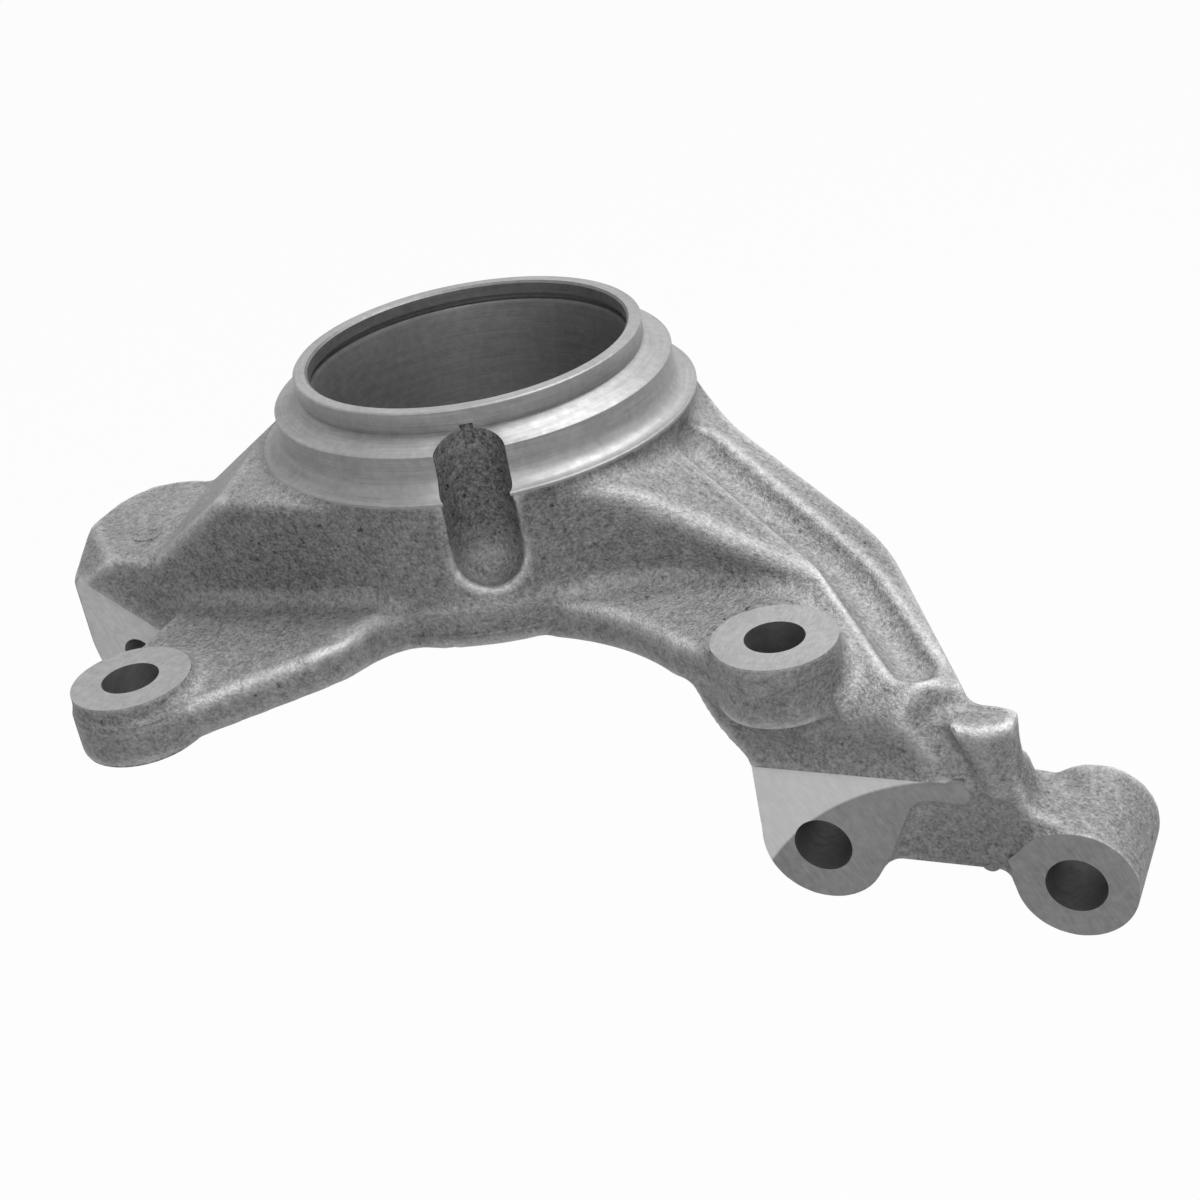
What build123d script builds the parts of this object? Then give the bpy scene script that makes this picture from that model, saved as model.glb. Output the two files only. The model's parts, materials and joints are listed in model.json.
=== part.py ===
from build123d import *
import math
import os

# Frame: origin on the bearing axis in the outer face of the neck. +Z runs out of the
# bearing mouth, +X up the part to the strut, +Y away from the brake caliper.

# Bearing housing
bearing_r = 42.0
mouth_ease = 0.5
mouth_depth = 3.6
groove_reach = 2.0
groove_width = 1.7
bearing_start = 6.4
bearing_width = 41.0
shoulder_reach = 4.5
neck_wall = 3.8
neck_height = 4.0
neck_foot = 2.1
ledge_width = 4.7
ledge_fall = 2.4
collar_height = 7.0
collar_foot = 2.6
housing_wall = 15.5
flange_reach = 0.8
flange_height = 1.8
housing_height = 59.7

# Slot down the front of the housing
slot_r = 8.7
slot_angle = -65.4
slot_bed = 3.4
slot_length = 36.0
slot_top = 4.3

# Shoulder, ramp and clamp lug for the ball joint
shoulder_gap = 2.0
shoulder_length = 48.5
ramp_run = 26.5
ramp_drop = 19.5
ramp_skew = 0.22
lug_reach = 108.4
lug_nose_x = -105.4
lug_nose_y = -41.0
front_inset = 0.5
lug_back_y = -7.5
lug_back_corner_r = 18.0
lug_bevel_x = -88.0
lug_bevel_slope = 0.62
stud_r = 9.0
stud_y = -31.0
stud_depth = 58.0
stud_length = 38.0
pinch_r = 4.7
pinch_x = -90.5
pinch_drop = 12.6
ear_r = 15.0
slit_width = 3.0
clamp_face_cut = 3.0
clamp_edge_x = -101.0
clamp_edge_drop = 7.0
clamp_edge_run = 25.0
clamp_edge_rise = 0.65

# Caliper bosses and the shelves that carry them
caliper_hole_r = 7.25
caliper_hole_a_depth = 15.5
caliper_boss_r = 15.0
caliper_boss_height = 16.7
caliper_face_depth = 49.8
boss_a_x = 97.9
boss_a_y = -57.6
boss_b_x = -58.0
boss_b_y = -96.3
boss_b_skirt = 1.0
boss_b_step = 4.7
shelf_a_depth = 50.4
shelf_a_thick = 11.2
shelf_b_thick = 10.8
shelf_b_depth = 40.0
shelf_b_tilt_x = 6.5
shelf_b_tilt_y = -3.5
shelf_corner_r = 8.0
shelf_b_tip_x = -4.5
shelf_b_tip_inset = 9.0
shelf_b_bend_x = 37.0
shelf_b_bend_y = 20.0
shelf_b_heel_inset = 5.0
shelf_a_root_angle = -55.0
shelf_a_inner_x = 38.0
shelf_a_bend_x = 26.0
shelf_a_bend_y = 3.0

# Strut arm
arm_shoulder_x = 43.5
arm_drop = 0.8
arm_slope = 0.46
arm_front_y = -33.0
arm_flare_x = 64.0
arm_flare_y = 17.0
arm_knee_x = 110.0
arm_knee_y = -5.0
arm_knee_r = 34.0
arm_end_x = 142.5
arm_end_y = -54.0
arch_x = 76.5
arch_mid_x = 82.4
arch_mid_drop = 9.1
recess_blend_x = 68.0
recess_blend_angle = -48.0
recess_edge_r = 4.0
flank_slope = 0.53
flank_start_z = -50.0
flank_edge_r = 8.0
wall_proud = 0.5
pocket_r = 7.6
pocket_rise = 2.2
pocket_bend_r = 40.0
pocket_top_x = 62.0
pocket_top_y = 0.5
pocket_bend_x = 106.0
pocket_bend_y = -24.0
pocket_foot_x = 127.0
pocket_foot_y = -48.0

# Strut blade
strut_face_y = -62.0
blade_depth = 30.0
blade_left_x = 89.5
strut_hole_r = 7.25
strut_1_x = 105.0
strut_1_z = -105.0
strut_2_x = 165.5
strut_2_z = -109.0
strut_lug_r = 15.4
strut_boss_r = 14.4
pad_top_z = -82.6
pad_strip = 5.6
pad_rise = 2.0
web_depth = 14.0
web_slope_run = 10.0
web_slope_rise = 2.5
blade_overlap = 4.0
pad_lean = 6.0
post_x = 144.6
post_width = 15.7
post_depth = 9.5
post_top_z = -68.4
post_corner_r = 2.5

# Tie-rod arm on the side away from the caliper
tie_boss_r = 15.0
tie_boss_x = -30.0
tie_boss_y = 86.0
tie_boss_z = -66.0
tie_boss_length = 22.0
tie_arm_thick = 22.0
tie_hole_r = 7.0
tie_root_r = 14.0
tie_root_x = -18.0
tie_root_y = 53.0

# Soft cast edges
cast_edge_r = 2.5

neck_r = bearing_r + mouth_ease + neck_wall
barrel_r = bearing_r + housing_wall
flange_r = barrel_r + flange_reach
ledge_r = neck_r + neck_foot + ledge_width
ledge_z = -(neck_height + neck_foot + ledge_fall)
collar_z = ledge_z - collar_height
flange_z = collar_z - collar_foot
front_y = front_inset - barrel_r

# Housing: the turned outside, from the neck's land down to the cast barrel
with BuildPart() as housing:
    with BuildSketch(Plane.XZ):
        with BuildLine():
            Polyline(
                (0, 0),
                (neck_r, 0),
                (neck_r, -neck_height),
                (neck_r + neck_foot, -neck_height - neck_foot),
                (ledge_r, ledge_z),
                (ledge_r, collar_z),
                (ledge_r + collar_foot, flange_z),
                (flange_r, flange_z),
                (flange_r, flange_z - flange_height),
                (barrel_r, flange_z - flange_height),
                (barrel_r, -housing_height),
                (0, -housing_height),
                (0, 0),
            )
        make_face()
    revolve(axis=Axis.Z)

# Shoulder, ramp and clamp lug: the plan outline and the side outline share one solid
ramp_foot_x = -(shoulder_length + ramp_run)
shoulder_z = flange_z - shoulder_gap
lug_top_z = shoulder_z - ramp_drop
stud_z = -stud_depth
pinch_z = stud_z - pinch_drop
with BuildPart() as clamp_block:
    with BuildSketch(Plane.XY) as block_plan:
        Polygon(
            (0, front_y),
            (lug_nose_x, front_y),
            (-lug_reach, lug_nose_y),
            (-lug_reach, lug_back_y),
            (0, lug_back_y),
            align=None,
        )
        fillet(block_plan.vertices().sort_by(Axis.X)[:2].sort_by(Axis.Y)[-1], lug_back_corner_r)
    extrude(amount=-2 * housing_height)
    with BuildSketch(Plane.XZ.offset(-front_y)):
        Polygon(
            (2 * barrel_r, shoulder_z),
            (-shoulder_length, shoulder_z),
            (ramp_foot_x, lug_top_z),
            (-2 * lug_reach, lug_top_z),
            (-2 * lug_reach, -2 * housing_height),
            (2 * barrel_r, -2 * housing_height),
            align=None,
        )
    extrude(amount=4 * barrel_r, dir=(-ramp_skew, 1, 0), both=True, mode=Mode.INTERSECT)
    wall = clamp_block.faces().sort_by(Axis.Y)[0]
    fillet([edge for edge in wall.edges() if edge.center().Z > lug_top_z - 1], cast_edge_r)
    with BuildSketch(Plane.XZ):
        with BuildLine():
            Polyline(
                (0, 0),
                (-lug_reach, 0),
                (-lug_reach, pinch_z + ear_r / 2),
                (pinch_x - ear_r, pinch_z),
            )
            RadiusArc((pinch_x - ear_r, pinch_z), (pinch_x + ear_r, pinch_z), -ear_r)
            Polyline(
                (pinch_x + ear_r, pinch_z),
                (pinch_x + ear_r, -housing_height),
                (0, -housing_height),
                (0, 0),
            )
        make_face()
    extrude(amount=2 * barrel_r, both=True, mode=Mode.INTERSECT)
    with BuildSketch(Plane.XZ.offset(-front_y)):
        Polygon(
            (lug_bevel_x, lug_top_z),
            (lug_bevel_x, 0),
            (-2 * lug_reach, 0),
            (-2 * lug_reach, lug_top_z - lug_bevel_slope * (lug_bevel_x + 2 * lug_reach)),
            align=None,
        )
    extrude(amount=4 * barrel_r, dir=(-1, 1, 0), both=True, mode=Mode.SUBTRACT)

# Sloping shelf out to caliper boss B
with BuildPart() as shelf_b:
    shelf_plane = Plane.XY.offset(-shelf_b_depth).rotated((shelf_b_tilt_x, shelf_b_tilt_y, 0))
    with BuildSketch(shelf_plane):
        with Locations(
            (shelf_b_tip_x, front_y + shelf_b_tip_inset),
            (boss_b_x + shelf_b_bend_x, boss_b_y + shelf_b_bend_y),
            (boss_b_x, front_y + shelf_b_heel_inset),
        ):
            Circle(shelf_corner_r)
        with Locations((boss_b_x, boss_b_y)):
            Circle(caliper_boss_r)
        make_hull()
    extrude(amount=shelf_b_thick, dir=(0, 0, -1))
    by_height = shelf_b.faces().sort_by(Axis.Z)
    fillet(by_height[-1].edges() + by_height[0].edges(), cast_edge_r)

# Flat shelf out to caliper boss A
shelf_a_root = Vector(barrel_r, 0).rotate(Axis.Z, shelf_a_root_angle)
shelf_a_end = (boss_a_x - shelf_a_bend_y, boss_a_y - caliper_boss_r + cast_edge_r)
with BuildPart() as shelf_a:
    with BuildSketch(Plane.XY.offset(-shelf_a_depth)):
        with BuildLine():
            TangentArc(shelf_a_root, (boss_a_x - shelf_a_bend_x, boss_a_y - shelf_a_bend_y), tangent=(1, 0))
            Line((boss_a_x - shelf_a_bend_x, boss_a_y - shelf_a_bend_y), shelf_a_end)
            Polyline(
                shelf_a_end,
                (boss_a_x, boss_a_y),
                (boss_a_x, arm_front_y),
                (shelf_a_inner_x, arm_front_y),
                shelf_a_root,
            )
        make_face()
    extrude(amount=-shelf_a_thick)
    level_edges = shelf_a.edges().filter_by(Axis.Z, reverse=True)
    fillet([edge for edge in level_edges if (edge @ 0.5).Y < shelf_a_root.Y], cast_edge_r)

# Strut arm beside the housing: sloping top, upright front wall, arched underside
arm_top_z = flange_z - flange_height - arm_drop
arm_end_z = arm_top_z - arm_slope * (arm_end_x - arm_shoulder_x)
arm_floor_z = pad_top_z
ridge_x = arm_shoulder_x + (arm_top_z - flank_start_z) / arm_slope
recess_blend = Vector(barrel_r, 0).rotate(Axis.Z, recess_blend_angle)
wall_y = strut_face_y - wall_proud
web_face_y = strut_face_y + pad_rise
flare_start = (arm_shoulder_x, arm_flare_y + (arm_flare_x - arm_shoulder_x))
arch_top_z = cast_edge_r / 2 - housing_height
arch_foot = (blade_left_x, arm_floor_z)
arch_middle = (arch_mid_x, arm_floor_z + arch_mid_drop)
arch_top = (arch_x, arch_top_z)
with BuildPart() as arm_root:
    with BuildSketch(Plane.XY):
        with BuildLine():
            FilletPolyline(
                flare_start,
                (arm_flare_x, arm_flare_y),
                (arm_knee_x, arm_knee_y),
                (arm_end_x, arm_end_y),
                radius=arm_knee_r,
            )
            Polyline(
                (arm_end_x, arm_end_y),
                (ridge_x, arm_front_y),
                (recess_blend_x, arm_front_y),
            )
            TangentArc((recess_blend_x, arm_front_y), recess_blend, tangent=(-1, 0))
            Polyline(recess_blend, (0, 0), flare_start)
        make_face()
    extrude(amount=-2 * housing_height)
    with BuildSketch(Plane.XZ):
        with BuildLine():
            ThreePointArc(arch_foot, arch_middle, arch_top)
            Polyline(
                arch_top,
                (0, arch_top_z),
                (0, arm_top_z),
                (arm_shoulder_x, arm_top_z),
                (arm_end_x, arm_end_z),
                (arm_end_x, arm_floor_z),
                arch_foot,
            )
        make_face()
    extrude(amount=2 * barrel_r, both=True, mode=Mode.INTERSECT)
    recess_wall = arm_root.faces().filter_by(Axis.Y).sort_by(Axis.Y)[0]
    fillet(recess_wall.edges().sort_by(Axis.Z)[-1], recess_edge_r)

# Forward part of the arm over the strut blade, with its flank falling to the front wall
flank_front_z = flank_start_z + flank_slope * (wall_y - arm_front_y)
with BuildPart() as arm_end:
    with BuildSketch(Plane.XY):
        with BuildLine():
            FilletPolyline(
                (arm_flare_x, arm_flare_y),
                (arm_knee_x, arm_knee_y),
                (arm_end_x, arm_end_y),
                radius=arm_knee_r,
            )
            Polyline(
                (arm_end_x, arm_end_y),
                (arm_end_x, wall_y),
                (arm_flare_x, wall_y),
                (arm_flare_x, arm_flare_y),
            )
        make_face()
    extrude(amount=-2 * housing_height)
    with BuildSketch(Plane.XZ):
        Polygon(
            (boss_a_x, arm_top_z - arm_slope * (boss_a_x - arm_shoulder_x)),
            (arm_end_x, arm_end_z),
            (arm_end_x, arm_floor_z),
            (boss_a_x, arm_floor_z),
            align=None,
        )
    extrude(amount=2 * barrel_r, both=True, mode=Mode.INTERSECT)
    with BuildSketch(Plane.YZ):
        Polygon(
            (wall_y, flank_front_z),
            (arm_flare_y, flank_start_z + flank_slope * (arm_flare_y - arm_front_y)),
            (arm_flare_y, arm_floor_z),
            (wall_y, arm_floor_z),
            align=None,
        )
    extrude(amount=2 * arm_end_x, both=True, mode=Mode.INTERSECT)
    front_wall = arm_end.faces().sort_by(Axis.Y)[0]
    fillet(front_wall.edges().sort_by(Axis.Z)[-1], flank_edge_r)

# Foot of the arm below boss A, with the arch that opens to the first strut lug
with BuildPart() as arm_foot:
    with BuildSketch(Plane.XZ.offset(-arm_front_y)):
        with BuildLine():
            ThreePointArc(arch_foot, arch_middle, arch_top)
            Polyline(arch_top, (boss_a_x, arch_top_z), (boss_a_x, arm_floor_z), arch_foot)
        make_face()
    extrude(amount=arm_front_y - wall_y)

# Strut blade: first lug at full depth, thin web, round boss and stub post
with BuildPart() as strut_blade:
    with BuildSketch(Plane.XZ.offset(-strut_face_y)):
        with Locations((strut_1_x, strut_1_z)):
            Circle(strut_lug_r)
        Polygon(
            (blade_left_x, arm_floor_z + blade_overlap),
            (strut_1_x + strut_lug_r, arm_floor_z + blade_overlap),
            (strut_1_x + strut_lug_r, strut_1_z),
            (blade_left_x, strut_1_z),
            align=None,
        )
    extrude(amount=-blade_depth)
    with BuildSketch(Plane.XZ.offset(-strut_face_y)):
        Polygon(
            (strut_1_x, arm_floor_z + blade_overlap),
            (arm_end_x, arm_floor_z + blade_overlap),
            (arm_end_x, pad_top_z - pad_strip),
            (strut_1_x + strut_lug_r + pad_lean, pad_top_z - pad_strip),
            (strut_1_x + strut_lug_r, strut_1_z),
            (strut_1_x, strut_1_z),
            align=None,
        )
    extrude(amount=-web_depth)
    with BuildSketch(Plane.XZ.offset(-strut_face_y)):
        with Locations((strut_2_x, strut_2_z)):
            Circle(strut_boss_r)
    extrude(amount=-blade_depth)
    with BuildSketch(Plane.XZ.offset(-web_face_y)):
        Polygon(
            (strut_1_x, arm_floor_z + blade_overlap),
            (post_x + post_width / 2, arm_floor_z),
            (strut_2_x - web_slope_run, strut_2_z + strut_boss_r + web_slope_rise),
            (strut_2_x, strut_2_z + strut_boss_r),
            (strut_2_x, strut_2_z),
            (strut_1_x, strut_2_z),
            align=None,
        )
    extrude(amount=-web_depth)
    with BuildSketch(Plane.XY.offset(post_top_z)):
        with Locations((post_x, web_face_y + post_depth / 2)):
            RectangleRounded(post_width, post_depth, post_corner_r)
    extrude(amount=strut_2_z - post_top_z)

# Tie-rod arm behind the housing, ending in a boss along X
with BuildPart() as tie_arm:
    with BuildSketch(Plane.XY.offset(tie_boss_z + tie_boss_r)):
        with Locations((tie_boss_x, tie_boss_y)):
            Circle(tie_boss_length / 2)
        with Locations((tie_root_x, tie_root_y)):
            Circle(tie_root_r)
        make_hull()
    extrude(amount=-tie_arm_thick)
    with BuildSketch(Plane.YZ.offset(tie_boss_x)):
        with Locations((tie_boss_y, tie_boss_z)):
            Circle(tie_boss_r)
    extrude(amount=tie_boss_length / 2, both=True)

with BuildPart() as knuckle:
    add(housing.part)
    add(clamp_block.part)
    add(shelf_b.part)
    add(shelf_a.part)
    add(arm_root.part)
    add(arm_end.part)
    add(arm_foot.part)
    add(strut_blade.part)
    add(tie_arm.part)
    with BuildSketch(Plane.XY.offset(-caliper_face_depth)):
        with Locations((boss_a_x, boss_a_y), (boss_b_x, boss_b_y)):
            Circle(caliper_boss_r)
    extrude(amount=-caliper_boss_height)
    with BuildSketch(Plane.XY.offset(-caliper_face_depth - boss_b_step)):
        with Locations((boss_b_x, boss_b_y)):
            Circle(caliper_boss_r + boss_b_skirt)
    extrude(amount=boss_b_step - caliper_boss_height)

    # Machined bores and faces
    with BuildSketch(Plane.XZ):
        with BuildLine():
            Polyline(
                (0, 1),
                (bearing_r + mouth_ease, 1),
                (bearing_r + mouth_ease, -mouth_depth),
                (bearing_r + groove_reach, -mouth_depth),
                (bearing_r + groove_reach, -mouth_depth - groove_width),
                (bearing_r, -mouth_depth - groove_width),
                (bearing_r, -bearing_start - bearing_width),
                (bearing_r - shoulder_reach, -bearing_start - bearing_width),
                (bearing_r - shoulder_reach, -2 * housing_height),
                (0, -2 * housing_height),
                (0, 1),
            )
        make_face()
    revolve(axis=Axis.Z, mode=Mode.SUBTRACT)
    slot_axis_r = barrel_r - slot_bed
    slot_x = slot_axis_r * math.cos(math.radians(slot_angle))
    slot_y = slot_axis_r * math.sin(math.radians(slot_angle))
    with BuildSketch(Plane.XY.offset(-slot_top)):
        with Locations((slot_x, slot_y)):
            Circle(slot_r)
    extrude(amount=slot_top - slot_length, mode=Mode.SUBTRACT)
    slot_end = Plane(origin=(slot_x, slot_y, -slot_length), z_dir=(slot_x, slot_y, -slot_axis_r))
    with Locations(slot_end.location):
        Sphere(slot_r, mode=Mode.SUBTRACT)

    # Pocket along the top of the arm, laid out in the plane of the arm's sloping top
    arm_top = Plane(
        origin=(arm_shoulder_x, 0, arm_top_z), x_dir=(1, 0, -arm_slope), z_dir=(arm_slope, 0, 1)
    )
    along = math.hypot(1, arm_slope)
    with BuildLine(arm_top.offset(pocket_rise)) as pocket_path:
        FilletPolyline(
            (along * (pocket_top_x - arm_shoulder_x), pocket_top_y),
            (along * (pocket_bend_x - arm_shoulder_x), pocket_bend_y),
            (along * (pocket_foot_x - arm_shoulder_x), pocket_foot_y),
            radius=pocket_bend_r,
        )
    path = pocket_path.wire()
    with BuildSketch(Plane(origin=path @ 0, z_dir=path % 0)):
        Circle(pocket_r)
    sweep(path=path, mode=Mode.SUBTRACT)
    for share in (0, 1):
        across = (path % share).cross(arm_top.z_dir)
        with Locations(Plane(origin=path @ share, z_dir=across).location):
            Sphere(pocket_r, mode=Mode.SUBTRACT)

    # Caliper holes: blind in boss A, which stands over the arm, and through boss B
    with BuildSketch(Plane.XY.offset(-caliper_face_depth)):
        with Locations((boss_a_x, boss_a_y)):
            Circle(caliper_hole_r)
    extrude(amount=-caliper_hole_a_depth, mode=Mode.SUBTRACT)
    with BuildSketch(Plane.XY.offset(-caliper_face_depth)):
        with Locations((boss_b_x, boss_b_y)):
            Circle(caliper_hole_r)
    extrude(amount=-2 * caliper_boss_height, mode=Mode.SUBTRACT)

    # Strut bolt holes along Y
    with BuildSketch(Plane.XZ.offset(-strut_face_y)):
        with Locations((strut_1_x, strut_1_z), (strut_2_x, strut_2_z)):
            Circle(strut_hole_r)
    extrude(amount=-2 * blade_depth, mode=Mode.SUBTRACT)

    # Clamp face: the ball-joint lug is cut back from the cast wall below a slanting edge
    with BuildSketch(Plane.XZ.offset(-front_y - clamp_face_cut)):
        Polygon(
            (-2 * lug_reach, lug_top_z),
            (clamp_edge_x, lug_top_z - clamp_edge_drop),
            (clamp_edge_x + clamp_edge_run, lug_top_z - clamp_edge_drop - clamp_edge_rise * clamp_edge_run),
            (clamp_edge_x + clamp_edge_run, -2 * housing_height),
            (-2 * lug_reach, -2 * housing_height),
            align=None,
        )
    extrude(amount=2 * clamp_face_cut, mode=Mode.SUBTRACT)

    # Ball joint clamp: stud bore along X, pinch hole along Y, slit through the ears
    with BuildSketch(Plane.YZ.offset(-lug_reach)):
        with Locations((stud_y, stud_z)):
            Circle(stud_r)
    extrude(amount=stud_length, mode=Mode.SUBTRACT)
    with BuildSketch(Plane.XZ):
        with Locations((pinch_x, pinch_z)):
            Circle(pinch_r)
    extrude(amount=2 * barrel_r, mode=Mode.SUBTRACT)
    with BuildSketch(Plane.YZ.offset(-lug_reach)):
        with Locations((stud_y, stud_z)):
            Rectangle(slit_width, 2 * barrel_r, align=(Align.CENTER, Align.MAX))
    extrude(amount=stud_length, mode=Mode.SUBTRACT)

    # Tie-rod hole along X
    with BuildSketch(Plane.YZ.offset(tie_boss_x - tie_boss_length / 2)):
        with Locations((tie_boss_y, tie_boss_z)):
            Circle(tie_hole_r)
    extrude(amount=tie_boss_length, mode=Mode.SUBTRACT)

os.makedirs("parts", exist_ok=True)
knuckle.part.label = "knuckle_casting"
export_step(knuckle.part, "parts/knuckle_casting.step")
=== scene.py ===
import json
import math

import bmesh
import bpy
import numpy as np
from mathutils import Matrix, Quaternion, Vector


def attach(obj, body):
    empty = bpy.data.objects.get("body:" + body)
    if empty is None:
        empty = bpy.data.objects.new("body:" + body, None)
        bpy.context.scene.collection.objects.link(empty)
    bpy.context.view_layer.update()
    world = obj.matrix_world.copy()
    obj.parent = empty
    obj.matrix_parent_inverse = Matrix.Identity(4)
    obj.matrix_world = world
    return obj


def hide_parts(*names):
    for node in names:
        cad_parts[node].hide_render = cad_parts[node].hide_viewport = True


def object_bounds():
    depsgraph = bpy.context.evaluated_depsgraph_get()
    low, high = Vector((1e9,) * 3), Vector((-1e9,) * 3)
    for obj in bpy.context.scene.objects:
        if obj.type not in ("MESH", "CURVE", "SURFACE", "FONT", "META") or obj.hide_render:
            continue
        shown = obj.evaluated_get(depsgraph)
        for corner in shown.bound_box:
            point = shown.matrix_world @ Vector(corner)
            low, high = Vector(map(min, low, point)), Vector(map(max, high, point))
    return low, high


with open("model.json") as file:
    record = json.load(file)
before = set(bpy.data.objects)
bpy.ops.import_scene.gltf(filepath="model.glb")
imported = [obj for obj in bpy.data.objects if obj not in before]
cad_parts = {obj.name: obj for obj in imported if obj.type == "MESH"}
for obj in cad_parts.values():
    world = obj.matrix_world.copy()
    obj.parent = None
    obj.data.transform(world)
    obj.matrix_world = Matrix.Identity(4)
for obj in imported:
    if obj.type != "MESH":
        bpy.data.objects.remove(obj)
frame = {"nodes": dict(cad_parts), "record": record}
cad_low, cad_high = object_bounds()
casting_node = frame["nodes"]["knuckle_casting"]
mounts = {mount["name"]: mount for mount in frame["record"]["mounts"]}

MM = 0.001


def place_of(mount):
    """A mount's place in millimetres."""
    return Vector(mounts[mount]["pos_m"]) / MM


def radius_of(mount):
    """A bore's radius in millimetres."""
    return mounts[mount]["dims"]["r_mm"]


def length_of(mount):
    """A bore's length in millimetres."""
    return mounts[mount]["dims"]["length_mm"]


CALIPER_HOLES = ("caliper_hole_a", "caliper_hole_b")
STRUT_HOLES = ("strut_hole_1", "strut_hole_2")

# Sizes and places from here on are in millimetres.
# Bores of the bearing housing, which runs down from the mouth at height 0
MOUTH_R = radius_of("bearing_mouth")
MOUTH_DEPTH = length_of("bearing_mouth")
GROOVE_R = 44.0
GROOVE_END = 5.3
BEARING_R = radius_of("bearing_bore")
BEARING_END = GROOVE_END + length_of("bearing_bore")
AXLE_R = radius_of("axle_bore")
HOUSING_END = -(BEARING_END + length_of("axle_bore"))
MOUTH_EASE = 0.6
SEAT_EASE = (0.4, 1.0)
BORE_ABOVE = 2.0
BORE_BELOW = -70.0

# Turned neck of the bearing housing
NECK_R = 46.3
NECK_HEIGHT = 4.6
NECK_FOOT = -6.2
UNDERCUT = 0.6
UNDERCUT_EASE = (0.3, 0.2)
LEDGE_R = 53.1
LEDGE_Z = -8.5
COLLAR_Z = -14.2
COLLAR_FOOT = 4.7
FLANGE_R = 58.3
FLANGE_END = -19.9
EASE = 0.35
SLEEVE_WALL = 1.5
SLEEVE_LENGTH = 8.0
NECK_ROOM_R = 64.0
NECK_ROOM_TOP = 5.0
NECK_OVERLAP = 0.6

# Slot down the front of the housing, with a small notch at its top and a painted highlight round its
# bottom
SLOT_R = 8.7
SLOT_DRAFT = 0.3
SLOT_CORNER = 6.5
SLOT_AXIS_R = 54.1
SLOT_ANGLE = math.radians(-65.4)
SLOT_AHEAD = Vector((math.cos(SLOT_ANGLE), math.sin(SLOT_ANGLE), 0))
SLOT_TOP = -6.0
SLOT_END = -37.2
NOTCH_R = 1.7
NOTCH_INSET = 0.9
NOTCH_LOW = -10.0
NOTCH_HIGH = -4.2
# Reach of the painted highlight round the bottom of the slot
SLOT_HIGHLIGHT_R = 10.0

# Lower rim of the housing as (radius, height), and the flash that the mould left round it
PLATE = [(50.0, HOUSING_END), (58.6, HOUSING_END), (58.6, -48.2), (57.2, -47.0), (50.0, -47.0)]
PARTING_Z = -55.7
FLASH = [
    (55.0, PARTING_Z + 1),
    (59.3, PARTING_Z + 0.2),
    (59.3, PARTING_Z - 0.2),
    (55.0, PARTING_Z - 1),
]

# Corner where the left shelf runs into the housing, seen from above
SHELF_CORNER = [
    (-15.6, -79.0),
    (-14.4, -81.6),
    (-9.2, -75.0),
    (-5.5, -66.1),
    (-2.5, -61.8),
    (0.8, -59.2),
    (5.0, -57.6),
    (12.2, -56.8),
    (8.0, -50.0),
    (-10.0, -56.0),
]
SHELF_CORNER_TOP = -49.5

# Caliper bosses, and the ring under boss B as (radius, height)
CALIPER_FACE_Z = mounts["caliper_face_a"]["pos_m"][2] / MM
BOSS_FOOT_Z = -65.6
BOSS_PLUG_R = 15.1
BOSS_FACE_R = 15.3
BOSS_CLEAR_R = 18.5
BOSS_CLEAR_DROP = 0.5
BOSS_CLEAR_TOP = -42.0
BOSS_MILL_TOP = -40.0
BOSS_POST = (-60.0, -35.0)
HOLE_END_Z = {"caliper_hole_a": -65.3, "caliper_hole_b": -72.0}
SKIRT = [(12.0, -54.7), (15.6, -54.7), (15.9, -55.1), (15.5, -66.0), (12.0, -66.0)]

# Clamp lug, the mark on its top as (radius, height), and its milled face as (x, z)
CLAMP_FACE_Y = -53.7
CLAMP_MILL_Y = -64.0
CLAMP_OUTLINE = [(-125, -31), (-101, -46.4), (-75.8, -62.6), (-75.8, -95), (-125, -95)]
LUG_PLUG_R = 12.0
STUD_PLUG_X = (-107.9, -65.0)
STUD_DRILL_X = (-115.0, -70.4)
PINCH_PLUG_Y = (-53.5, -9.0)
PINCH_DRILL_Y = (-64.0, 0.0)
SLIT_WIDTH = 3.0
SLIT_FOOT_Z = -95.0
MARK_PLACE = (-86.0, -42.0)
MARK = [(0.0, -43.0), (4.4, -43.0), (3.8, -39.3), (3.0, -39.3), (2.4, -40.0), (0.0, -40.0)]

# Tie-rod arm
TIE_PLUG_R = 10.0
TIE_PLUG_HALF = 10.5
TIE_DRILL_HALF = 20.0

# Strut blade: machined pad as (x, z), with the arc where one pass of the cutter ended
STRUT_FACE_Y = mounts["strut_face"]["pos_m"][1] / MM
STRUT_BACK_Y = -32.6
STRUT_PLUG_R = {"strut_hole_1": 15.2, "strut_hole_2": 14.4}
STRUT_DRILL_Y = (-70.0, -20.0)
STRUT_PAD_TOP = -82.6
STRUT_MILL_LOW = (85.0, -72.0, -130.0)
STRUT_MILL_END = 190.0
PAD_OUTLINE = [
    (89.3, -82.2),
    (89.6, -98.0),
    (92.0, -110.0),
    (105.0, -118.0),
    (117.0, -113.9),
    (120.0, -108.2),
    (127.8, -89.3),
    (133.9, -88.0),
    (141.2, -88.9),
    (140.8, -82.2),
]
PAD_ROOT_Y = -54.0
PAD_LIP = 0.4
PAD_LIP_ROOT_Y = -58.0
PAD_ARC_X = 144.3
PAD_ARC_Z = -146.1
PAD_ARC_R = 63.5
WEB_BUMP = (145.3, -60.0, -106.8)
WEB_BUMP_R = 2.3
WEB_BUMP_ROOT_Y = -54.0
TAIL = [(149.7, -103.8), (156.5, -97.0), (158.0, -104.0), (153.0, -113.0)]
TAIL_PROUD = 1.0
TAIL_ROOT_Y = -57.0

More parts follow.
